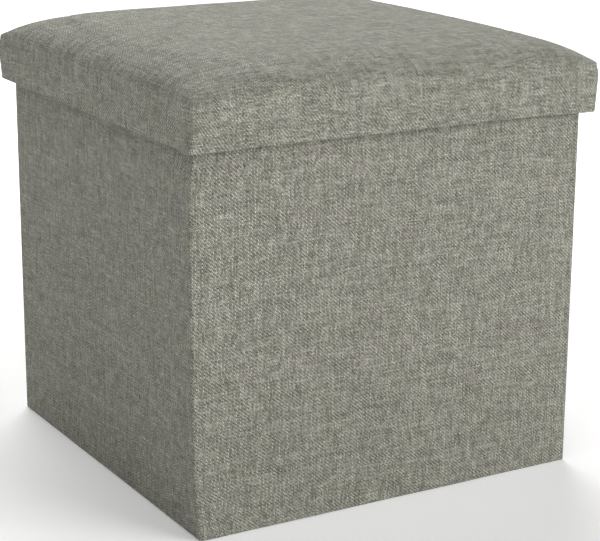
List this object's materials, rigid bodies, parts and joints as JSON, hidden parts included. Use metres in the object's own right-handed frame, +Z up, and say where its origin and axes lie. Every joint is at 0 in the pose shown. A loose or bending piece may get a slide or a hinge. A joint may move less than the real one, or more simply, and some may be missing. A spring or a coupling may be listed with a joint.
{
  "type": "folding storage ottoman",
  "caption": "Cube-shaped folding storage ottoman: linen-covered board walls that crease inward, a hinged base panel inside, and a padded lift-off lid with a deep skirt.",
  "frame": {"origin": "centre of the underside, on the surface that the ottoman stands on", "axes": "+Z up, -Y out through the front wall, which doesn't crease, +X to the right as seen from the front"},
  "size_m": [0.38, 0.38, 0.376],
  "materials": {
    "linen": "linen-look twill, greige melange",
    "lining": "dark grey non-woven cloth",
    "hardboard": "raw hardboard",
    "foam": "open-cell foam",
    "ribbon": "woven grosgrain ribbon",
    "staple_steel": "zinc-plated wire"
  },
  "bodies": {
    "front_wall": {"front_board": "hardboard", "front_cover": "linen", "front_lining": "lining", "floor_cloth": "lining", "floor_hem": "linen", "base_hinge_strip": "lining"},
    "left_front_wall": {"left_front_board": "hardboard", "left_front_cover": "linen", "left_front_lining": "lining"},
    "left_rear_wall": {"left_rear_board": "hardboard", "left_rear_cover": "linen", "left_rear_lining": "lining"},
    "back_wall": {"back_board": "hardboard", "back_cover": "linen", "back_lining": "lining"},
    "right_front_wall": {"right_front_board": "hardboard", "right_front_cover": "linen", "right_front_lining": "lining"},
    "right_rear_wall": {"right_rear_board": "hardboard", "right_rear_cover": "linen", "right_rear_lining": "lining"},
    "base_panel": {"base_board": "hardboard", "base_wrap_top": "lining", "base_wrap_bottom": "lining", "pull_tab": "ribbon"},
    "lid": {"lid_board": "hardboard", "lid_rim_front": "hardboard", "lid_rim_back": "hardboard", "lid_rim_left": "hardboard", "lid_rim_right": "hardboard", "lid_foam": "foam", "lid_cover": "linen", "lid_lining": "lining", "lid_staples": "staple_steel"}
  },
  "joints": [
    {"name": "lid_lift", "type": "slide", "parent": "front_wall", "child": "lid", "axis": [0, 0, 1], "range_m": [0, 0.45]},
    {"name": "base_flap", "type": "hinge", "parent": "front_wall", "child": "base_panel", "pos_m": [0, -0.1712, 0.0013], "axis": [1, 0, 0], "range_deg": [0, 90], "deforming": ["base_hinge_strip"]},
    {"name": "wall_fold", "type": "hinge", "parent": "front_wall", "child": "left_front_wall", "pos_m": [-0.173, -0.173, 0], "axis": [0, 0, -1], "range_deg": [0, 84], "deforming": ["floor_cloth", "floor_hem"]},
    {"name": "left_crease", "type": "hinge", "parent": "left_front_wall", "child": "left_rear_wall", "pos_m": [-0.1805, 0, 0], "axis": [0, 0, 1], "range_deg": [0, 168]},
    {"name": "rear_left_corner", "type": "hinge", "parent": "left_rear_wall", "child": "back_wall", "pos_m": [-0.173, 0.173, 0], "axis": [0, 0, -1], "range_deg": [0, 84]},
    {"name": "front_right_corner", "type": "hinge", "parent": "front_wall", "child": "right_front_wall", "pos_m": [0.173, -0.173, 0], "axis": [0, 0, 1], "range_deg": [0, 84]},
    {"name": "right_crease", "type": "hinge", "parent": "right_front_wall", "child": "right_rear_wall", "pos_m": [0.1805, 0, 0], "axis": [0, 0, -1], "range_deg": [0, 168]}
  ],
  "couplings": [
    {"joint": "left_crease", "follows": "wall_fold", "ratio": 2},
    {"joint": "rear_left_corner", "follows": "wall_fold", "ratio": 1},
    {"joint": "front_right_corner", "follows": "wall_fold", "ratio": 1},
    {"joint": "right_crease", "follows": "wall_fold", "ratio": 2}
  ]
}
